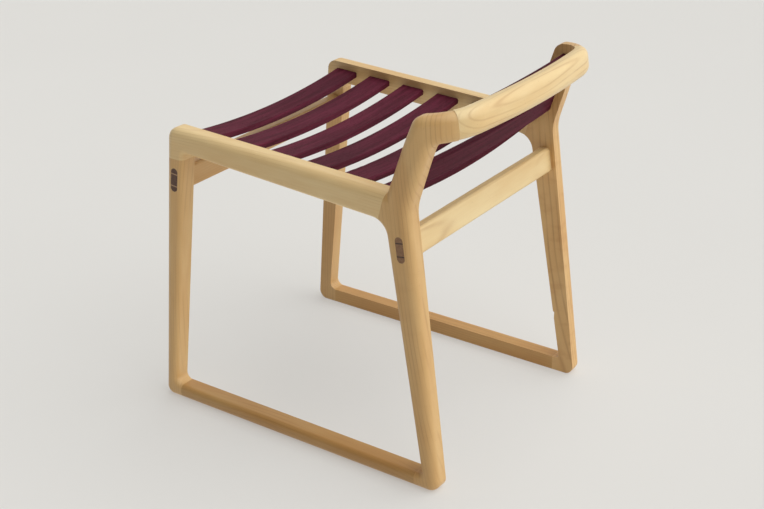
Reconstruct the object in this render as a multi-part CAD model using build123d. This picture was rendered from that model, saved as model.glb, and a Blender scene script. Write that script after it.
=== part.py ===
"""Low-backed wooden chair on two sled-base side frames, with bent slats for seat and back.

Millimetres, +Z up. X is the width, -Y the front, +Y the back. The origin is on the floor, at the
middle of the chair's bounding box. A side frame is drawn flat: 'y' counts back from the front
foot, 'z' up from the floor, and the frame's outer face lies at x = 0 with its wood at x < 0.
"""

from build123d import *
import math
import os

# ---- overall sizes -------------------------------------------------------------------------
HALF_FOOT = 207.7             # middle of the chair to a side frame's outer face, at the floor
FRAME_LEAN = 0.891            # degrees that each side frame leans inwards
FRAME_THICKNESS = 26.4        # across X, of every side-frame piece

# ---- front leg -----------------------------------------------------------------------------
LEG_FOOT_DEPTH = 20.0         # front to back, at the floor
LEG_HEAD_DEPTH = 31.8         # front to back, at HEAD_HEIGHT
LEG_RAKE = 34.8               # how far the front face moves back between floor and HEAD_HEIGHT
HEAD_HEIGHT = 430.0           # where the leg and post lines are measured

# ---- seat rail -----------------------------------------------------------------------------
SEAT_HEIGHT = 430.0           # top of the seat rail, above the front foot
SEAT_FALL = 2.36              # degrees that the rail's top falls to the rear
RAIL_FRONT_DEPTH = 31.6       # top to bottom, at the front
RAIL_FLARE = 0.97             # degrees more that the rail's underside falls
HEAD_DROP = 10.5              # stub of the rail that reaches down over the leg

# ---- rear post -----------------------------------------------------------------------------
POST_FRONT_FOOT = 462.5       # front face at the floor
POST_FRONT_RAKE = 75.3        # how far that face comes forward by HEAD_HEIGHT
POST_FOOT_DEPTH = 21.5        # front to back, at the floor
POST_BACK_RAKE = 57.2         # how far the rear face comes forward by HEAD_HEIGHT
KNEE_HEIGHT = 396.2           # where the rear face turns from forward to backward
BACK_LEAN = 16.9              # degrees that the upper post and the back lean to the rear
POST_TAPER = 1.7              # degrees that the upper post's front face leans more
POST_SHOULDER = POST_FRONT_FOOT - 59.5       # upper front face, at HEAD_HEIGHT

# ---- floor runner --------------------------------------------------------------------------
RUNNER_HEIGHT = 22.2
RUNNER_FRONT_JOINT = 33.0     # joint with the front leg
RUNNER_BACK_JOINT = POST_FRONT_FOOT - 15.5   # joint with the rear post

# ---- rounding of the side frames -----------------------------------------------------------
FOOT_CORNER = 14.0            # seen from the side
HEAD_CORNER = 15.0
SHOULDER_CORNER = 17.0
LOWER_FILLET = 10.0
HEEL_FILLET = 5.0
UNDER_RAIL_FILLET = 25.0
HEAD_FILLET = 4.0
KNEE_RADIUS = 60.0
CROOK_FILLET = 11.0
LOOP_OUTSIDE = 12.5           # rounding of the outer edges, outside of the loop
LOOP_INSIDE = 7.5             # and inside of it

# ---- the crest: back rail and the posts' crooks, in one plane that rises to the rear ---------
CREST_HEIGHT = 37.0           # square to the crest's plane
CREST_THICKNESS = 18.5        # of the back rail
CREST_RISE = 9.3              # degrees that the plane rises to the rear
CREST_SETBACK = POST_FRONT_FOOT + 26.5       # inner face at the middle, at mid height
CREST_LEVEL = 509.4           # height of that point
CREST_BOW_RADIUS = 4.96 * HALF_FOOT          # inner face, seen from above
CREST_INNER_CORNER = 41.7
CREST_OUTER_CORNER = 78.0
CREST_JOINT = 38.0            # degrees round the corner, from the rear, to crook and rail's joint
CROOK_REACH = 120.0           # how far in the blank for a crook reaches, across X

# ---- cross rails, tenons and wedges --------------------------------------------------------
CROSS_HEIGHT = 36.0
CROSS_THICKNESS = 18.0
CROSS_ROUND = 5.0
CROSS_SETBACK = 1.5           # behind the middle of the leg
FRONT_CROSS_LEVEL = 353.0
REAR_CROSS_LEVEL = 343.0
TENON_HEIGHT = 35.0
TENON_THICKNESS = 11.6
TENON_DEPTH = 38.0            # into the cross rail
WEDGE_THICKNESS = 1.6
WEDGE_TIP = 0.5
WEDGE_LENGTH = 20.0
WEDGE_OFFSET = 9.0            # from the tenon's middle

# ---- slats ---------------------------------------------------------------------------------
SEAT_SLATS = 6
SLAT_WIDTH = 38.0
SLAT_THICKNESS = 9.0
SLAT_PITCH = (POST_FRONT_FOOT - 154.5) / (SEAT_SLATS - 1)
SLAT_START = 50.0             # front edge of the first slat
SLAT_DROP = 11.5              # rail's top to the slat's top, at the rail
SLAT_SAG = 12.3
HOUSING = 7.0                 # depth that a slat's end goes into the frame
BACK_SLAT_WIDTH = 31.0        # up the slope of the back
BACK_SLAT_PITCH = 59.3        # lower slat to upper slat, up the slope
BACK_SLAT_THICKNESS = 9.0
BACK_SLAT_SETBACK = POST_FRONT_FOOT - 36.7   # lower slat's rear lower edge, at the frame
BACK_SLAT_LEVEL = 418.3       # height of that edge
BACK_SLAT_BOW = 5.4
SLAT_ROUND = 2.6              # long edges

# ---- hidden joinery ------------------------------------------------------------------------
RAIL_JOINT_SETBACK = 9.0      # from the under-rail corner to the rail's joint with the post
SPLINE_THICKNESS = 8.0        # loose tenons inside the side frames, across X
SPLINE_DEPTH = 20.0           # into each of the two pieces
SHORT_SPLINE_DEPTH = 12.0     # where a through tenon or the crook's bend leaves less room
FOOT_SPLINE_WIDTH = 12.0
HEAD_SPLINE_WIDTH = 17.0
RAIL_SPLINE_WIDTH = 21.0
CREST_SPLINE_WIDTH = 18.0
GLUE_GAP = 0.1                # all round a tenon, slat end or wedge

REACH = 900.0                 # longer than anything in the chair
HALF_CREST = HALF_FOOT - CREST_LEVEL * math.tan(math.radians(FRAME_LEAN))


def tan(degrees):
    return math.tan(math.radians(degrees))


# ---- lines of the side frame, drawn flat ---------------------------------------------------
def leg_front(z):
    return LEG_RAKE * z / HEAD_HEIGHT


def leg_back(z):
    return leg_front(z) + LEG_FOOT_DEPTH + (LEG_HEAD_DEPTH - LEG_FOOT_DEPTH) * z / HEAD_HEIGHT


def rail_top(y):
    return SEAT_HEIGHT - tan(SEAT_FALL) * y


def rail_bottom(y):
    return SEAT_HEIGHT - RAIL_FRONT_DEPTH - tan(SEAT_FALL + RAIL_FLARE) * y


def post_front(z):
    return POST_FRONT_FOOT - POST_FRONT_RAKE * z / HEAD_HEIGHT


def post_back(z):
    return POST_FRONT_FOOT + POST_FOOT_DEPTH - POST_BACK_RAKE * z / HEAD_HEIGHT


def upper_front(z):
    return POST_SHOULDER + tan(BACK_LEAN + POST_TAPER) * (z - HEAD_HEIGHT)


def upper_back(z):
    return post_back(KNEE_HEIGHT) + tan(BACK_LEAN) * (z - KNEE_HEIGHT)


def crossing(a, b, c, d):
    """Point where the line through a and b meets the line through c and d."""
    ux, uy = b[0] - a[0], b[1] - a[1]
    vx, vy = d[0] - c[0], d[1] - c[1]
    t = ((c[0] - a[0]) * vy - (c[1] - a[1]) * vx) / (ux * vy - uy * vx)
    return (a[0] + t * ux, a[1] + t * uy)


def steep(line):
    """Two points (y, z) of a line given as y(z)."""
    return (line(0), 0), (line(HEAD_HEIGHT), HEAD_HEIGHT)


def level(line):
    """Two points (y, z) of a line given as z(y)."""
    return (0, line(0)), (CREST_SETBACK, line(CREST_SETBACK))


def crest_point(back, up):
    """Point (y, z) that lies so far back and up in the crest's tilted plane."""
    rise = math.radians(CREST_RISE)
    return (CREST_SETBACK + back * math.cos(rise) - up * math.sin(rise),
            CREST_LEVEL + back * math.sin(rise) + up * math.cos(rise))


def flat_face(points, radii):
    """Face in the side plane, from corners (y, z) with a radius each."""
    corners = [Vector(0, y, z) for y, z in points]
    face = Face(Wire.make_polygon(corners, close=True))
    for corner, radius in zip(corners, radii):
        if radius:
            face = face.fillet_2d(radius, [face.vertices().sort_by_distance(corner)[0]])
    return face


def board(face, thickness):
    """The face cut from a board, behind the outer face."""
    return extrude(face, amount=thickness, dir=(-1, 0, 0))


def slab(points):
    """A block through the whole frame over a polygon (y, z)."""
    face = flat_face(points, [0] * len(points))
    return extrude(face, amount=REACH, dir=(1, 0, 0), both=True)


# ---- corners of the side frame, drawn flat ---------------------------------------------------
KNEE = (post_back(KNEE_HEIGHT), KNEE_HEIGHT)
CREST_TOP = (crest_point(0, CREST_HEIGHT / 2), crest_point(REACH, CREST_HEIGHT / 2))
CREST_UNDER = (crest_point(0, -CREST_HEIGHT / 2), crest_point(REACH, -CREST_HEIGHT / 2))
CROOK = crossing(KNEE, (upper_back(HEAD_HEIGHT), HEAD_HEIGHT), *CREST_UNDER)
CROOK_END = (crest_point(CREST_THICKNESS * 2, -CREST_HEIGHT / 2),
             crest_point(CREST_THICKNESS * 2, CREST_HEIGHT / 2))
SHOULDER = crossing(*steep(upper_front), *CREST_TOP)
SEAT_CORNER = crossing(*steep(upper_front), *level(rail_top))
HEAD = crossing(*steep(leg_front), *level(rail_top))
UNDER_RAIL = crossing(*steep(post_front), *level(rail_bottom))
HEAD_INSIDE = crossing(*steep(leg_back), *level(rail_bottom))
HEAD_JOINT = HEAD_INSIDE[1] - HEAD_DROP
RAIL_JOINT = (SEAT_CORNER, (UNDER_RAIL[0] - RAIL_JOINT_SETBACK, UNDER_RAIL[1]))


# ---- the crest seen from above ---------------------------------------------------------------
CREST_PLANE = Plane(origin=(0, CREST_SETBACK, CREST_LEVEL), x_dir=(1, 0, 0),
                    z_dir=(0, -math.sin(math.radians(CREST_RISE)),
                           math.cos(math.radians(CREST_RISE))))


def bowed_edge(half, radius, corner):
    """One side of a bowed outline: straight back at x = half, round a corner, then the bow."""
    corner_x = half - corner
    corner_y = math.sqrt((radius - corner) ** 2 - corner_x ** 2) - CREST_BOW_RADIUS
    turn = math.asin(corner_x / (radius - corner))

    def on_corner(angle):
        return (corner_x + corner * math.sin(angle), corner_y + corner * math.cos(angle))

    def on_bow(angle):
        return (radius * math.sin(angle), radius * math.cos(angle) - CREST_BOW_RADIUS)

    return [Line((half, corner_y - REACH), on_corner(math.pi / 2)),
            ThreePointArc(on_corner(math.pi / 2), on_corner((turn + math.pi / 2) / 2),
                          on_corner(turn)),
            ThreePointArc(on_bow(turn), on_bow(turn / 2), on_bow(0))]


CREST_OUTER = bowed_edge(HALF_CREST, CREST_BOW_RADIUS + CREST_THICKNESS, CREST_OUTER_CORNER)
CREST_INNER = bowed_edge(HALF_CREST - FRAME_THICKNESS, CREST_BOW_RADIUS, CREST_INNER_CORNER)


def crest_half(height):
    """The +X half of the crest, in its own plane's coordinates, with square edges."""
    ends = [Line(CREST_OUTER[-1] @ 1, CREST_INNER[-1] @ 1),
            Line(CREST_OUTER[0] @ 0, CREST_INNER[0] @ 0)]
    face = make_face(Curve() + CREST_OUTER + CREST_INNER + ends)
    return extrude(face, amount=height / 2, both=True)


def crook_side():
    """Everything on the hook's side of the joint between crook and back rail, as a block."""
    return joint_place() * Pos(REACH, 0, 0) * Box(2 * REACH, 2 * REACH, 2 * REACH)


def joint_place():
    """Centre of the inner corner, turned so that X leads round the bend into the crook."""
    centre = CREST_INNER[1].arc_center
    return Pos(centre.X, centre.Y, 0) * Rot(0, 0, -CREST_JOINT)


def crest_rail():
    """Blank of the back rail with the side frames' y and z, hooks and all."""
    half = crest_half(CREST_HEIGHT)
    outer = []
    for curve in CREST_OUTER:
        for level in (CREST_HEIGHT / 2, -CREST_HEIGHT / 2):
            spot = Vector((curve @ 0.5).X, (curve @ 0.5).Y, level)
            outer.append(min(half.edges(), key=lambda e: (e @ 0.5 - spot).length))
    half = CREST_PLANE * fillet(outer, LOOP_OUTSIDE)
    return half + mirror(half, about=Plane.YZ)


# ---- the ring of a side frame ----------------------------------------------------------------
def outer_edges(solid):
    """Edges that lie in the frame's outer face."""
    def flat(edge):
        box = edge.bounding_box()
        return abs(box.min.X) < 1e-3 and abs(box.max.X) < 1e-3
    return solid.edges().filter_by(flat)


def loop():
    """The whole side frame in one piece, bent in at the crook, with its outer edges rounded."""
    side = board(flat_face(
        [(0, 0), (post_back(0), 0), KNEE, CROOK, *CROOK_END, SHOULDER, SEAT_CORNER, HEAD],
        [FOOT_CORNER, FOOT_CORNER, KNEE_RADIUS, CROOK_FILLET, 0, 0, SHOULDER_CORNER,
         0, HEAD_CORNER]), CROOK_REACH)
    plan = Pos(-HALF_CREST, 0, 0) * (CREST_PLANE * crest_half(2 * REACH))
    outside = side & plan
    outside = fillet(outer_edges(outside), LOOP_OUTSIDE)
    opening = board(flat_face(
        [(leg_back(RUNNER_HEIGHT), RUNNER_HEIGHT), (post_front(RUNNER_HEIGHT), RUNNER_HEIGHT),
         UNDER_RAIL, HEAD_INSIDE],
        [LOWER_FILLET, HEEL_FILLET, UNDER_RAIL_FILLET, HEAD_FILLET]), FRAME_THICKNESS)
    ring = outside - opening
    mouth = [e.center() for e in outer_edges(opening)]
    inside = [e for e in outer_edges(ring)
              if any((e.center() - spot).length < 0.5 for spot in mouth)]
    return fillet(inside, LOOP_INSIDE)


# ---- standing the flat pieces up -------------------------------------------------------------
LOOP = loop()
CREST = crest_rail()
MIDDLE_Y = (LOOP.bounding_box().min.Y + CREST.bounding_box().max.Y) / 2
STAND = Pos(HALF_FOOT, -MIDDLE_Y, 0) * Rot(0, -FRAME_LEAN, 0)


def floor_block():
    return Pos(0, 0, REACH) * Box(2 * REACH, 2 * REACH, 2 * REACH)


def stood(part):
    """A flat right-hand piece, stood in the chair and trimmed to the floor."""
    return (STAND * part) & floor_block()


def mirrored(part):
    return mirror(part, about=Plane.YZ)


def between_frames():
    """Everything between the inner faces of the two side frames."""
    half = STAND * Pos(-FRAME_THICKNESS - REACH, 0, 0) * Box(2 * REACH, 4 * REACH, 4 * REACH)
    return half & mirrored(half)


INSIDE = between_frames()
CROOK_SIDE = STAND * Pos(-HALF_CREST, 0, 0) * (CREST_PLANE * crook_side())


# ---- the four pieces of a side frame, without their mortises ---------------------------------
def front_leg():
    reach = [(-50, -50), (RUNNER_FRONT_JOINT, -50), (RUNNER_FRONT_JOINT, 100), (120, 100),
             (120, HEAD_JOINT), (-50, HEAD_JOINT)]
    return stood(LOOP & slab(reach))


def floor_runner():
    reach = [(RUNNER_FRONT_JOINT, -50), (RUNNER_BACK_JOINT, -50), (RUNNER_BACK_JOINT, 80),
             (RUNNER_FRONT_JOINT, 80)]
    return stood(LOOP & slab(reach))


def rail_end(z):
    """The joint between seat rail and rear post, at height z."""
    return crossing(RAIL_JOINT[0], RAIL_JOINT[1], (0, z), (1, z))


def seat_rail():
    reach = [(-50, HEAD_JOINT), (120, HEAD_JOINT), (120, 330), rail_end(330), rail_end(500),
             (-50, 500)]
    return stood(LOOP & slab(reach))


def rear_post():
    reach = [(RUNNER_BACK_JOINT, -50), (600, -50), (600, 700), rail_end(700), rail_end(330),
             (330, 330), (330, 100), (RUNNER_BACK_JOINT, 100)]
    return stood(LOOP & slab(reach)) & CROOK_SIDE


def back_rail():
    return Pos(0, -MIDDLE_Y, 0) * CREST - CROOK_SIDE - mirrored(CROOK_SIDE)


# ---- cross rails -----------------------------------------------------------------------------
def leg_tilt(front, back):
    """Angle that the middle of a leg leans to the rear."""
    middle = [(front(z) + back(z)) / 2 for z in (0, HEAD_HEIGHT)]
    return math.degrees(math.atan2(middle[1] - middle[0], HEAD_HEIGHT))


def cross_place(front, back, z):
    """Where a cross rail's middle lies: set in the leg and turned with it."""
    y = (front(z) + back(z)) / 2 + CROSS_SETBACK - MIDDLE_Y
    return Pos(0, y, z) * Rot(-leg_tilt(front, back), 0, 0)


FRONT_CROSS = cross_place(leg_front, leg_back, FRONT_CROSS_LEVEL)
REAR_CROSS = cross_place(post_front, post_back, REAR_CROSS_LEVEL)


def along_x(shape, length):
    """A section drawn in y, z and extruded both ways along x."""
    return extrude(Plane.YZ * shape, amount=length, both=True)


def cross_rail(place):
    section = RectangleRounded(CROSS_THICKNESS, CROSS_HEIGHT, CROSS_ROUND)
    return (place * along_x(section, REACH)) & INSIDE


def tenon_bar(place, gap=0):
    """The stadium-shaped through tenon of the right-hand end, far too long outwards."""
    section = SlotOverall(TENON_HEIGHT + 2 * gap, TENON_THICKNESS + 2 * gap, rotation=90)
    inner = HALF_FOOT - FRAME_THICKNESS - REAR_CROSS_LEVEL * tan(FRAME_LEAN) - TENON_DEPTH
    bar = extrude(Plane.YZ * section, amount=REACH)
    return place * Pos(inner - gap, 0, 0) * bar


def wedge(place, side, gap=0):
    """One tapered wedge of a right-hand tenon, too long outwards; side is +1 or -1."""
    outer = HALF_FOOT - REAR_CROSS_LEVEL * tan(FRAME_LEAN)
    spread = (WEDGE_THICKNESS - WEDGE_TIP) / 2 / WEDGE_LENGTH
    run = WEDGE_LENGTH + 20
    tip = WEDGE_TIP / 2 + gap
    butt = tip + spread * run
    outline = Polyline((-gap, -tip), (run, -butt), (run, butt), (-gap, tip), close=True)
    solid = extrude(Plane.XZ * make_face(outline), amount=TENON_THICKNESS, both=True)
    return place * Pos(outer - WEDGE_LENGTH, 0, side * WEDGE_OFFSET) * solid


def through_tenon(place, leg):
    """The right-hand tenon: flush with the leg outside, with its two kerfs cut."""
    bar = tenon_bar(place)
    tenon = (bar & leg) + (bar & INSIDE)
    for side in (1, -1):
        tenon -= wedge(place, side, GLUE_GAP)
    return tenon


def fitted_wedge(place, side, leg):
    return wedge(place, side) & tenon_bar(place) & leg


# ---- slats -----------------------------------------------------------------------------------
def bent_strip(half, sag, width, thickness, gap):
    """Strip bent to an arc that sags by sag at x = 0; its top is level with z = 0 at x = half.

    The width lies along y, from y = 0. Its long edges are rounded.
    """
    radius = (half ** 2 + sag ** 2) / (2 * sag)
    centre = radius - sag
    reach = math.asin((half + HOUSING + gap) / radius)

    def spot(r, angle):
        return (r * math.sin(angle), centre - r * math.cos(angle))

    top = radius - gap
    under = radius + thickness + gap
    outline = Wire([
        Plane.XZ * ThreePointArc(spot(top, -reach), spot(top, 0), spot(top, reach)),
        Plane.XZ * Line(spot(top, reach), spot(under, reach)),
        Plane.XZ * ThreePointArc(spot(under, reach), spot(under, 0), spot(under, -reach)),
        Plane.XZ * Line(spot(under, -reach), spot(top, -reach)),
    ])
    strip = extrude(Face(outline), amount=width + 2 * gap, dir=(0, 1, 0))
    strip = Pos(0, -gap, 0) * strip
    long_edges = [e for e in strip.edges() if e.length > half]
    return fillet(long_edges, SLAT_ROUND)


def inner_half(z):
    """Middle of the chair to a side frame's inner face, at height z."""
    return HALF_FOOT - FRAME_THICKNESS - z * tan(FRAME_LEAN)


def seat_slat(index, gap=0):
    front = SLAT_START + index * SLAT_PITCH
    top = rail_top(front) - SLAT_DROP
    strip = bent_strip(inner_half(top), SLAT_SAG, SLAT_WIDTH, SLAT_THICKNESS, gap)
    return Pos(0, front - MIDDLE_Y, top) * Rot(-SEAT_FALL, 0, 0) * strip


def back_slat(index, gap=0):
    """Back slat: 0 is the lower one and 1 the upper one, further up the same slope."""
    along = index * BACK_SLAT_PITCH
    middle = BACK_SLAT_LEVEL + along + BACK_SLAT_WIDTH / 2
    strip = bent_strip(inner_half(middle), BACK_SLAT_BOW, BACK_SLAT_WIDTH,
                       BACK_SLAT_THICKNESS, gap)
    upright = Rot(90 - BACK_LEAN, 0, 0) * Pos(0, along, BACK_SLAT_THICKNESS) * strip
    return Pos(0, BACK_SLAT_SETBACK - MIDDLE_Y, BACK_SLAT_LEVEL) * upright


# ---- loose tenons inside the side frames -----------------------------------------------------
def loose_tenon(middle, width, lean, depth, gap=0):
    """A loose tenon across a joint at middle (y, z), leaning rearwards by lean degrees."""
    section = SlotOverall(width + 2 * gap, SPLINE_THICKNESS + 2 * gap, rotation=90)
    solid = extrude(section, amount=depth + gap, both=True)
    place = Pos(-FRAME_THICKNESS / 2, middle[0], middle[1]) * Rot(-lean, 0, 0)
    return STAND * place * solid


def head_spline(gap=0):
    middle = (leg_front(HEAD_JOINT) + leg_back(HEAD_JOINT)) / 2
    return loose_tenon((middle, HEAD_JOINT), HEAD_SPLINE_WIDTH, leg_tilt(leg_front, leg_back),
                       SHORT_SPLINE_DEPTH, gap)


def front_foot_spline(gap=0):
    return loose_tenon((RUNNER_FRONT_JOINT, RUNNER_HEIGHT / 2), FOOT_SPLINE_WIDTH, 90,
                       SPLINE_DEPTH, gap)


def rear_foot_spline(gap=0):
    return loose_tenon((RUNNER_BACK_JOINT, RUNNER_HEIGHT / 2), FOOT_SPLINE_WIDTH, 90,
                       SPLINE_DEPTH, gap)


def rail_spline(gap=0):
    top, foot = RAIL_JOINT
    middle = ((top[0] + foot[0]) / 2, (top[1] + foot[1]) / 2)
    lean = math.degrees(math.atan2(top[0] - foot[0], top[1] - foot[1]))
    return loose_tenon(middle, RAIL_SPLINE_WIDTH, 90 + lean, SPLINE_DEPTH, gap)


def crest_spline(gap=0):
    """The loose tenon between crook and back rail; it runs along the bend."""
    width = CREST_SPLINE_WIDTH + 2 * gap
    section = SlotOverall(width, SPLINE_THICKNESS + 2 * gap, rotation=90)
    solid = extrude(Plane.XZ * section, amount=SHORT_SPLINE_DEPTH + gap, both=True)
    middle = CREST_INNER_CORNER + CREST_THICKNESS / 2
    place = CREST_PLANE * (joint_place() * Pos(0, middle, 0) * Rot(0, 0, 90) * solid)
    return Pos(0, -MIDDLE_Y, 0) * place


# ---- putting the chair together --------------------------------------------------------------
def side_frame():
    """The right-hand side frame and everything fixed in it, as name: solid."""
    leg = front_leg()
    post = rear_post()
    last_slat = SEAT_SLATS - 1
    rail = seat_rail()
    for index in range(SEAT_SLATS):
        rail -= seat_slat(index, GLUE_GAP)
    rail -= head_spline(GLUE_GAP)
    rail -= rail_spline(GLUE_GAP)
    runner = floor_runner() - front_foot_spline(GLUE_GAP)
    runner -= rear_foot_spline(GLUE_GAP)
    pieces = {
        "front_tenon": through_tenon(FRONT_CROSS, leg),
        "rear_tenon": through_tenon(REAR_CROSS, post),
        "front_upper_wedge": fitted_wedge(FRONT_CROSS, 1, leg),
        "front_lower_wedge": fitted_wedge(FRONT_CROSS, -1, leg),
        "rear_upper_wedge": fitted_wedge(REAR_CROSS, 1, post),
        "rear_lower_wedge": fitted_wedge(REAR_CROSS, -1, post),
        "leg_to_seat_spline": head_spline(),
        "leg_to_runner_spline": front_foot_spline(),
        "runner_to_post_spline": rear_foot_spline(),
        "seat_to_post_spline": rail_spline(),
        "post_to_back_rail_spline": crest_spline(),
        "seat_rail": rail,
        "floor_runner": runner,
    }
    leg -= tenon_bar(FRONT_CROSS, GLUE_GAP)
    leg -= head_spline(GLUE_GAP)
    pieces["front_leg"] = leg - front_foot_spline(GLUE_GAP)
    post -= tenon_bar(REAR_CROSS, GLUE_GAP)
    post -= rail_spline(GLUE_GAP)
    post -= rear_foot_spline(GLUE_GAP)
    post -= crest_spline(GLUE_GAP)
    post -= back_slat(0, GLUE_GAP)
    post -= back_slat(1, GLUE_GAP)
    pieces["rear_post"] = post - seat_slat(last_slat, GLUE_GAP)
    return pieces


def both_sides(cut):
    return cut, mirrored(cut)


def cross_pieces():
    """Everything that joins the two side frames, as name: solid."""
    front = cross_rail(FRONT_CROSS)
    for cut in both_sides(tenon_bar(FRONT_CROSS, GLUE_GAP)):
        front -= cut
    rear = cross_rail(REAR_CROSS)
    for cut in both_sides(tenon_bar(REAR_CROSS, GLUE_GAP)):
        rear -= cut
    crest_rail = back_rail()
    for cut in both_sides(crest_spline(GLUE_GAP)):
        crest_rail -= cut
    pieces = {"front_cross_rail": front, "rear_cross_rail": rear, "back_rail": crest_rail,
              "lower_back_slat": back_slat(0), "upper_back_slat": back_slat(1)}
    for index in range(SEAT_SLATS):
        pieces[f"seat_slat_{index + 1}"] = seat_slat(index)
    return pieces


def chair():
    pieces = cross_pieces()
    for name, solid in side_frame().items():
        pieces[f"right_{name}"] = solid
        pieces[f"left_{name}"] = mirrored(solid)
    return pieces


if __name__ == "__main__":
    os.makedirs("parts", exist_ok=True)
    for name, solid in chair().items():
        export_step(solid, f"parts/{name}.step")
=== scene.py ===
"""Looks of a low-backed chair: two sled-base side frames of pale oiled maple, with bent slats of a dark
burgundy hardwood for its seat and back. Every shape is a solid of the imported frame, in metres; this script
gives each piece of wood its own grain, and adds the floor, the light and the camera."""
import math

import bpy
import numpy as np
from mathutils import Matrix, Vector


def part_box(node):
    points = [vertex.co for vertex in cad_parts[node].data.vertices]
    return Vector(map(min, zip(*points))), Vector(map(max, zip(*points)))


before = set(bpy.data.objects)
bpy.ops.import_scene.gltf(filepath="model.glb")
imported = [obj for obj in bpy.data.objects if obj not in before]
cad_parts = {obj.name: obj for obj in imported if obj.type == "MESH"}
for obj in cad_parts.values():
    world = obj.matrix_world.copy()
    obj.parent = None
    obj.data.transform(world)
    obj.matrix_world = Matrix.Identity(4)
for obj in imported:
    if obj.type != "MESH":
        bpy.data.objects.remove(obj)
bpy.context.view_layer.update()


# ---- Shader maths ---------------------------------------------------------------------------------

# The Mix node's sockets for colours, which share their names with those for numbers.
COLOUR_A, COLOUR_B, MIXED_COLOUR = 6, 7, 2


class Value:
    """A number that changes over a surface. Each operator adds a Math node."""

    def __init__(self, finish, socket):
        self.finish = finish
        self.socket = socket

    def math(self, operation, *others):
        return self.finish.add("ShaderNodeMath", {"operation": operation}, self, *others)

    def __add__(self, other):
        return self.math("ADD", other)

    def __radd__(self, other):
        return self.math("ADD", other)

    def __sub__(self, other):
        return self.math("SUBTRACT", other)

    def __mul__(self, other):
        return self.math("MULTIPLY", other)

    def __truediv__(self, other):
        return self.math("DIVIDE", other)

    def __pow__(self, other):
        return self.math("POWER", other)

    def sine(self):
        return self.math("SINE")

    def root(self):
        return self.math("SQRT")

    def between(self, low, high):
        """0 below low and 1 above high, with a smooth rise from one to the other."""
        return self.finish.add("ShaderNodeMapRange", {"interpolation_type": "SMOOTHSTEP", "clamp": True},
                               self, low, high, 0.0, 1.0)


class Finish:
    """A material, and the one method that adds nodes to it."""

    def __init__(self, name):
        self.material = bpy.data.materials.new(name)
        self.material.use_nodes = True
        self.tree = self.material.node_tree
        self.tree.nodes.clear()

    def node(self, kind, settings, inputs):
        """A node of that kind. Its settings are set first, then its inputs get numbers, colours or links."""
        made = self.tree.nodes.new(kind)
        for key, value in settings.items():
            setattr(made, key, value)
        for key, value in inputs.items():
            if isinstance(value, Value):
                self.tree.links.new(value.socket, made.inputs[key])
            elif value is not None:
                made.inputs[key].default_value = value
        return made

    def add(self, kind, settings, *inputs):
        """The same, with the inputs in the order of the sockets. Its first output is returned as a Value."""
        made = self.node(kind, settings, dict(enumerate(inputs)))
        return Value(self, made.outputs[0])

    def axes(self, place):
        """The x, y and z of place as three Values."""
        parts = self.node("ShaderNodeSeparateXYZ", {}, {0: place})
        return tuple(Value(self, socket) for socket in parts.outputs)

    def object_place(self):
        """Object coordinates, in metres."""
        return Value(self, self.node("ShaderNodeTexCoord", {}, {}).outputs["Object"])

    def noise(self, place, scale, detail, rough=0.5, seed=0.0):
        """Soft noise from 0 to 1 at place, with that many lumps in a metre."""
        made = self.node("ShaderNodeTexNoise", {"noise_dimensions": "4D"},
                         {"Vector": place, "W": seed, "Scale": scale, "Detail": detail, "Roughness": rough})
        return Value(self, made.outputs["Fac"])

    def stretched(self, place, along, across):
        """place with its length and its width scaled apart, so that a pattern on it is long and narrow."""
        return self.add("ShaderNodeVectorMath", {"operation": "MULTIPLY"}, place, (along, across, across))

    def mix(self, amount, first, second):
        """The colour first, changed towards second by amount."""
        made = self.node("ShaderNodeMix", {"data_type": "RGBA"},
                         {"Factor": amount, COLOUR_A: first, COLOUR_B: second})
        return Value(self, made.outputs[MIXED_COLOUR])

    def bumped(self, height, strength, depth):
        """A normal that follows height, depth metres deep at most."""
        made = self.node("ShaderNodeBump", {}, {"Strength": strength, "Distance": depth, "Height": height})
        return Value(self, made.outputs["Normal"])

    def surface(self, varying, steady):
        """The shader and the output. steady values stay on the shader's own sockets."""
        shader = self.node("ShaderNodeBsdfPrincipled", {}, {**varying, **steady})
        out = self.node("ShaderNodeOutputMaterial", {}, {})
        self.tree.links.new(shader.outputs["BSDF"], out.inputs["Surface"])
        return self.material


# Scales of the wood's patterns: lumps in a metre along the grain, then across it.
SLOW_WAVES = (3.0, 9.0)
BROKEN_RINGS = (10.0, 45.0)
CLOUDS = (4.5, 22.0)
FIBRES = (22.0, 1150.0)
FLECKS = (210.0, 1500.0)
FLAMES = (62.0, 26.0)
BURGUNDY_STREAKS = (5.0, 150.0)
BURGUNDY_FIBRES = (24.0, 1300.0)
BURGUNDY_CLOUDS = (5.0, 18.0)
BURGUNDY_PORES = (150.0, 2100.0)
END_MOTTLE = (30.0, 260.0)
END_PORES = (30.0, 2400.0)

NEARLY_UPRIGHT = 0.3     # sine of a grain's lean under which its side is taken from X, not from Z
TRUNK_BEND = 0.16        # sideways metres for each metre of length, squared
TRUNK_TWIST = 0.7        # the bend's part along the board's Z
RING_WANDER = 0.016      # metres that the rings stray
RING_SHARPNESS = 7.0     # higher is a thinner line
GRAIN_DEPTH = 0.0002     # metres, for the bump of pores and fibres
MAPLE_GRAIN_DEPTH = 0.00018


def rgba(red, green, blue):
    return (red, green, blue, 1.0)


def board_turn(grain):
    """The rotation of a board's own axes: X along the grain, Y and Z across it."""
    lengthwise = Vector(grain).normalized()
    side = Vector((0, 0, 1)).cross(lengthwise)
    if side.length < NEARLY_UPRIGHT:
        side = Vector((1, 0, 0)).cross(lengthwise)
    side.normalize()
    turn = Matrix((lengthwise, side, lengthwise.cross(side))).transposed()
    return tuple(turn.to_euler())


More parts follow.
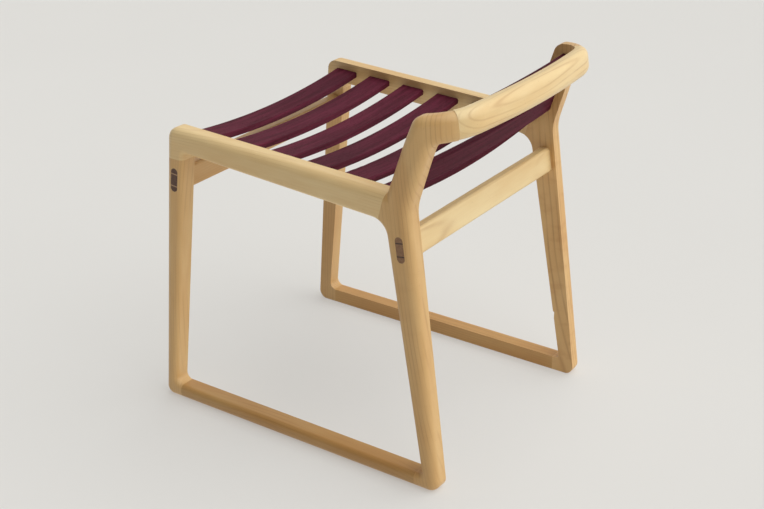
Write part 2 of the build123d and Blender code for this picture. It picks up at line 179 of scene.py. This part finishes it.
def board_place(finish, middle, grain):
    """Object coordinates turned so that X runs along the board's grain, from the board's middle."""
    made = finish.node("ShaderNodeMapping", {"vector_type": "TEXTURE"},
                       {"Vector": finish.object_place(), "Location": tuple(middle),
                        "Rotation": board_turn(grain)})
    return Value(finish, made.outputs["Vector"])


def growth_radius(finish, place, heart, seed):
    """Metres from the tree's heart, which lies at heart (Y, Z) from the board's middle: the root of y
    squared plus z squared, in a trunk that bends with x squared, with slow waves added."""
    slow = finish.noise(finish.stretched(place, *SLOW_WAVES), 1.0, 2.0, 0.5, seed)
    x, y, z = finish.axes(place)
    bend = x * x * TRUNK_BEND
    y = y + bend - heart[0]
    z = z + bend * TRUNK_TWIST - heart[1]
    return (y * y + z * z).root() + (slow - 0.5) * RING_WANDER


# ---- Finishes -------------------------------------------------------------------------------------

# Which way the grain runs.
LEG_GRAIN = (0.0, 0.081, 1.0)
POST_GRAIN = (0.0, -0.175, 1.0)
LENGTHWISE = (0.0, 1.0, 0.0)
CROSSWISE = (1.0, 0.0, 0.0)

# The maple's colours.
PALE = (0.88, 0.70, 0.385)
HONEY = (0.78, 0.545, 0.25)
RING = (0.47, 0.255, 0.105)
FLECK = (0.40, 0.20, 0.075)


def shaded(colour, tone, warmth_and_shade=0.0):
    """A colour made lighter or darker, and redder: on the maple pieces this is partly painted shade,
    darkening and reddening the pieces whose faces sit in shade, and partly the wood's own colour.
    """
    return rgba(colour[0] * tone, colour[1] * tone * (1 - 0.5 * warmth_and_shade), colour[2] * tone * (1 - warmth_and_shade))


def maple(name, middle, grain, heart=(0.05, 0.12), tone=1.0, warmth_and_shade=0.0, seed=0.0, rings=0.30, spacing=0.0042,
          curl=0.0, streaks=()):
    """Oiled maple: fine growth rings, soft colour changes, short pin flecks, and a curl across the grain.
    streaks are dark mineral lines: middle point, half length along the grain, half width."""
    wood = Finish(name)
    place = board_place(wood, middle, grain)
    turns = growth_radius(wood, place, heart, seed) / spacing
    year = (turns * math.tau).sine() * 0.5 + 0.5
    broken = wood.noise(wood.stretched(place, *BROKEN_RINGS), 1.0, 2.0, 0.5, seed + 2.0)
    line = year ** RING_SHARPNESS * broken.between(0.32, 0.66)
    cloud = wood.noise(wood.stretched(place, *CLOUDS), 1.0, 3.0, 0.55, seed + 3.0)
    fibre = wood.noise(wood.stretched(place, *FIBRES), 1.0, 3.0, 0.6, seed + 4.0)
    fleck = wood.noise(wood.stretched(place, *FLECKS), 1.0, 1.0, 0.5, seed + 5.0).between(0.70, 0.78)
    # Painted shade, in part: each piece's tone and redness darken and redden all its colours, most on the
    # pieces whose faces sit in shade; the rest is the wood's own colour.
    colour = wood.mix(cloud.between(0.30, 0.72), shaded(PALE, tone, warmth_and_shade), shaded(HONEY, tone, warmth_and_shade))
    colour = wood.mix(line * rings, colour, shaded(RING, tone, warmth_and_shade))
    colour = wood.mix(fibre.between(0.45, 0.85) * 0.20, colour, shaded(HONEY, 0.72 * tone, warmth_and_shade))
    colour = wood.mix(fleck * 0.42, colour, shaded(FLECK, tone, warmth_and_shade))
    if curl:
        flame = wood.noise(wood.stretched(place, *FLAMES), 1.0, 2.0, 0.5, seed + 6.0)
        colour = wood.mix(flame.between(0.48, 0.70) * curl, colour, shaded(RING, 1.25 * tone, warmth_and_shade))
    for spot, half_length, half_width in streaks:
        along, aside, deep = (part - middle_part for part, middle_part in zip(wood.axes(place), spot))
        ragged = (fibre - 0.5) * 1.1 + (cloud - 0.5) * 1.4
        reach = ((along / half_length) ** 2.0 + (aside / half_width) ** 2.0
                 + (deep / half_width) ** 2.0).root()
        colour = wood.mix((reach + ragged).between(1.25, 0.35) * 0.62, colour, rgba(0.20, 0.115, 0.06))
    normal = wood.bumped(fibre * 0.8 + line * -0.3 + fleck * -0.8, 0.32, MAPLE_GRAIN_DEPTH)
    return wood.surface(
        {"Base Color": colour, "Roughness": 0.40 + (fibre - 0.5) * 0.16 + line * 0.06, "Normal": normal},
        {"IOR": 1.47, "Coat Weight": 0.12, "Coat Roughness": 0.30, "Specular IOR Level": 0.45})


def burgundy(name, middle, grain, tone=1.0, seed=0.0):
    """A dense burgundy wood: long light and dark streaks, and open pores as short dark dashes."""
    wood = Finish(name)
    place = board_place(wood, middle, grain)
    streak = wood.noise(wood.stretched(place, *BURGUNDY_STREAKS), 1.0, 4.0, 0.62, seed)
    fine = wood.noise(wood.stretched(place, *BURGUNDY_FIBRES), 1.0, 3.0, 0.6, seed + 1.0)
    broad = wood.noise(wood.stretched(place, *BURGUNDY_CLOUDS), 1.0, 2.0, 0.5, seed + 2.0)
    pore = wood.noise(wood.stretched(place, *BURGUNDY_PORES), 1.0, 1.0, 0.5, seed + 3.0).between(0.60, 0.70)
    colour = wood.mix(streak.between(0.30, 0.70), rgba(0.072 * tone, 0.0070 * tone, 0.018 * tone),
                      rgba(0.140 * tone, 0.018 * tone, 0.042 * tone))
    colour = wood.mix(fine.between(0.48, 0.80) * 0.45, colour, rgba(0.20 * tone, 0.040 * tone, 0.070 * tone))
    colour = wood.mix(broad.between(0.42, 0.68) * 0.35, colour,
                      rgba(0.048 * tone, 0.0075 * tone, 0.016 * tone))
    colour = wood.mix(pore * 0.65, colour, rgba(0.022, 0.004, 0.008))
    normal = wood.bumped(fine * 0.9 + streak * 0.4 - pore, 0.45, GRAIN_DEPTH)
    return wood.surface(
        {"Base Color": colour, "Roughness": 0.56 + (fine - 0.5) * 0.22 + pore * 0.15, "Normal": normal},
        {"IOR": 1.45, "Specular IOR Level": 0.10})


def end_grain(name, middle, dark, light, seed=0.0):
    """The sawn end of a tenon or wedge: fine dots of pores on a mottled ground."""
    wood = Finish(name)
    place = board_place(wood, middle, CROSSWISE)
    mottle = wood.noise(wood.stretched(place, *END_MOTTLE), 1.0, 3.0, 0.6, seed)
    dots = wood.noise(wood.stretched(place, *END_PORES), 1.0, 1.0, 0.5, seed + 1.0).between(0.55, 0.68)
    colour = wood.mix(mottle.between(0.30, 0.70), rgba(*dark), rgba(*light))
    colour = wood.mix(dots * 0.4, colour, rgba(*(0.45 * part for part in dark)))
    normal = wood.bumped(mottle - dots, 0.3, GRAIN_DEPTH)
    return wood.surface(
        {"Base Color": colour, "Roughness": 0.48 + (mottle - 0.5) * 0.2, "Normal": normal},
        {"IOR": 1.47, "Coat Weight": 0.08, "Coat Roughness": 0.3})


# ---- Which wood each piece is cut from ------------------------------------------------------------

def middle_of(node):
    low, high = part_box(node)
    return (Vector(low) + Vector(high)) / 2


def give(node, material):
    """Puts the finish on the piece. Its shape and place stay as they are."""
    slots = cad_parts[node].data.materials
    slots.clear()
    slots.append(material)


# The tones and redness below are partly painted shade. The runners, rear posts and legs are darker and redder
# because their faces sit in shade, and the far seat rail is a little darker because the slats shade it. The
# rest is the wood's own colour from piece to piece.
MAPLE_PIECES = {
    "right_front_leg": dict(grain=LEG_GRAIN, heart=(0.10, 0.05), tone=0.90, warmth_and_shade=0.30, seed=1.0,
                            rings=0.26),
    "left_front_leg": dict(grain=LEG_GRAIN, heart=(-0.08, 0.09), tone=0.80, warmth_and_shade=0.38, seed=2.0),
    "right_seat_rail": dict(grain=LENGTHWISE, heart=(0.03, 0.14), tone=1.0, warmth_and_shade=0.08, seed=3.0,
                            rings=0.22),
    "left_seat_rail": dict(grain=LENGTHWISE, heart=(0.05, 0.11), tone=0.98, warmth_and_shade=0.12, seed=4.0,
                           rings=0.26),
    "right_floor_runner": dict(grain=LENGTHWISE, heart=(0.06, 0.08), tone=0.68, warmth_and_shade=0.48, seed=5.0,
                               rings=0.26),
    "left_floor_runner": dict(grain=LENGTHWISE, heart=(-0.05, 0.10), tone=0.74, warmth_and_shade=0.52, seed=6.0,
                              rings=0.30),
    "right_rear_post": dict(grain=POST_GRAIN, heart=(0.07, 0.04), tone=0.84, warmth_and_shade=0.34, seed=7.0,
                            rings=0.36, spacing=0.0055, curl=0.08,
                            streaks=(((-0.135, 0.002, 0.013), 0.035, 0.0045),)),
    "left_rear_post": dict(grain=POST_GRAIN, heart=(0.04, 0.06), tone=0.88, warmth_and_shade=0.36, seed=8.0, rings=0.55,
                           spacing=0.006, curl=0.30),
    "front_cross_rail": dict(grain=CROSSWISE, heart=(0.05, 0.12), tone=0.90, warmth_and_shade=0.30, seed=9.0),
    "rear_cross_rail": dict(grain=CROSSWISE, heart=(0.11, 0.02), tone=1.0, seed=10.0, rings=0.34,
                            spacing=0.0055),
    "back_rail": dict(grain=CROSSWISE, heart=(0.035, 0.03), tone=1.0, warmth_and_shade=0.03, seed=11.0, rings=0.36,
                      spacing=0.0062),
}
for node, wood in MAPLE_PIECES.items():
    give(node, maple("maple_" + node, middle_of(node), **wood))

SLAT_TONES = {"seat_slat_1": 0.95, "seat_slat_2": 0.98, "seat_slat_3": 1.08, "seat_slat_4": 0.90,
              "seat_slat_5": 0.92, "seat_slat_6": 0.88, "lower_back_slat": 0.88,
              "upper_back_slat": 0.80}
for count, (node, tone) in enumerate(SLAT_TONES.items()):
    give(node, burgundy("burgundy_" + node, middle_of(node), CROSSWISE, tone, 20.0 + 3.0 * count))

DARK_TENON = ((0.085, 0.035, 0.018), (0.145, 0.066, 0.036))
BROWN_TENON = ((0.24, 0.115, 0.05), (0.33, 0.175, 0.08))
PALE_WEDGE = ((0.42, 0.25, 0.13), (0.52, 0.33, 0.18))
DARK_WEDGE = ((0.06, 0.026, 0.014), (0.10, 0.045, 0.022))
RAW_MAPLE = ((0.50, 0.30, 0.14), (0.60, 0.40, 0.20))
for side_count, side in enumerate(("right", "left")):
    ends = {"front_tenon": DARK_TENON, "rear_tenon": BROWN_TENON,
            "front_upper_wedge": PALE_WEDGE, "front_lower_wedge": PALE_WEDGE,
            "rear_upper_wedge": DARK_WEDGE, "rear_lower_wedge": DARK_WEDGE,
            "leg_to_seat_spline": RAW_MAPLE, "leg_to_runner_spline": RAW_MAPLE,
            "runner_to_post_spline": RAW_MAPLE, "seat_to_post_spline": RAW_MAPLE,
            "post_to_back_rail_spline": RAW_MAPLE}
    for count, (piece, (dark, light)) in enumerate(ends.items()):
        node = side + "_" + piece
        give(node, end_grain("end_grain_" + node, middle_of(node), dark, light,
                             50.0 + 20.0 * side_count + count))


# ---- Floor and light ------------------------------------------------------------------------------

# Where the view is taken from: degrees from +X towards +Y, degrees down, degrees of roll, and metres.
VIEW_YAW, VIEW_PITCH, VIEW_ROLL = 214.705, 25.098, -0.371
EYE = Vector((1.55017, 1.07360, 1.09844))
SENSOR_WIDTH = 36.0       # mm
LENS_LENGTH = 67.336      # mm

# The floor and backdrop, in metres from the chair, along the view.
FLOOR_REACH = 16.0
BACKDROP_START = 3.2
BACKDROP_BEND = 2.6
BACKDROP_HEIGHT = 7.0

SUN_DISTANCE = 3.0        # metres; only its direction matters


def seamless_floor():
    """A floor that turns up into a backdrop: flat, then a quarter of a circle, then upright. The grid's two
    parameters are the way across and the way back along that profile."""
    across = np.linspace(-FLOOR_REACH, FLOOR_REACH, 33)
    turn = np.linspace(0.0, math.pi / 2, 25)
    back = np.concatenate(([FLOOR_REACH, 4.0, 0.0, -1.5],
                           -BACKDROP_START - BACKDROP_BEND * np.sin(turn),
                           [-BACKDROP_START - BACKDROP_BEND]))
    up = np.concatenate((np.zeros(4), BACKDROP_BEND * (1 - np.cos(turn)), [BACKDROP_HEIGHT]))
    heading = math.radians(VIEW_YAW)
    forward = np.array((math.cos(heading), math.sin(heading)))
    aside = np.array((math.sin(heading), -math.cos(heading)))
    points = np.empty((len(back), len(across), 3))
    points[..., 0] = across[None, :] * aside[0] - back[:, None] * forward[0]
    points[..., 1] = across[None, :] * aside[1] - back[:, None] * forward[1]
    points[..., 2] = up[:, None]
    corner = np.arange(points.shape[0] * points.shape[1]).reshape(points.shape[:2])
    faces = np.stack((corner[:-1, :-1], corner[:-1, 1:], corner[1:, 1:], corner[1:, :-1]), axis=-1)
    mesh = bpy.data.meshes.new("seamless_floor")
    mesh.from_pydata(points.reshape(-1, 3).tolist(), [], faces.reshape(-1, 4).tolist())
    mesh.shade_smooth()
    floor = bpy.data.objects.new("seamless_floor", mesh)
    bpy.context.collection.objects.link(floor)
    paper = Finish("pale_paper")
    soft = paper.noise(paper.object_place(), 1.4, 2.0)
    colour = paper.mix(soft, rgba(0.395, 0.390, 0.375), rgba(0.420, 0.416, 0.402))
    mesh.materials.append(paper.surface({"Base Color": colour}, {"Roughness": 0.9, "Specular IOR Level": 0.1,
        "Emission Color": rgba(1.0, 0.99, 0.96), "Emission Strength": 0.36}))


def daylight(towards, strength, spread, colour):
    """Even light from one side of the sky. It is soft, because it comes from a patch spread degrees wide."""
    data = bpy.data.lights.new("soft_daylight", "SUN")
    data.energy, data.angle, data.color = strength, math.radians(spread), colour
    made = bpy.data.objects.new("soft_daylight", data)
    made.location = Vector(towards) * SUN_DISTANCE
    made.rotation_euler = Vector(towards).to_track_quat("Z", "Y").to_euler()
    bpy.context.collection.objects.link(made)


seamless_floor()
daylight((-0.50, 0.66, 1.0), 3.3, 100.0, (1.0, 0.985, 0.955))

room = bpy.data.worlds.new("pale_room")
bpy.context.scene.world = room
room.use_nodes = True
fill = room.node_tree.nodes["Background"]
fill.inputs["Color"].default_value = rgba(0.98, 0.985, 1.0)
fill.inputs["Strength"].default_value = 0.14


# ---- Camera ---------------------------------------------------------------------------------------

def set_camera():
    """A camera at EYE, looking along its heading and down, with a slight roll."""
    heading, pitch, roll = (math.radians(angle) for angle in (VIEW_YAW, VIEW_PITCH, VIEW_ROLL))
    forward = Vector((math.cos(pitch) * math.cos(heading), math.cos(pitch) * math.sin(heading),
                      -math.sin(pitch)))
    right = Vector((math.sin(heading), -math.cos(heading), 0.0))
    up = right.cross(forward)
    rolled_right = right * math.cos(roll) + up * math.sin(roll)
    rolled_up = up * math.cos(roll) - right * math.sin(roll)
    data = bpy.data.cameras.new("camera")
    data.sensor_width, data.lens = SENSOR_WIDTH, LENS_LENGTH
    data.clip_end = 50.0
    made = bpy.data.objects.new("camera", data)
    made.matrix_world = (Matrix.Translation(EYE)
                         @ Matrix((rolled_right, rolled_up, -forward)).transposed().to_4x4())
    bpy.context.collection.objects.link(made)
    bpy.context.scene.camera = made


set_camera()
bpy.context.scene.view_settings.view_transform = "Standard"
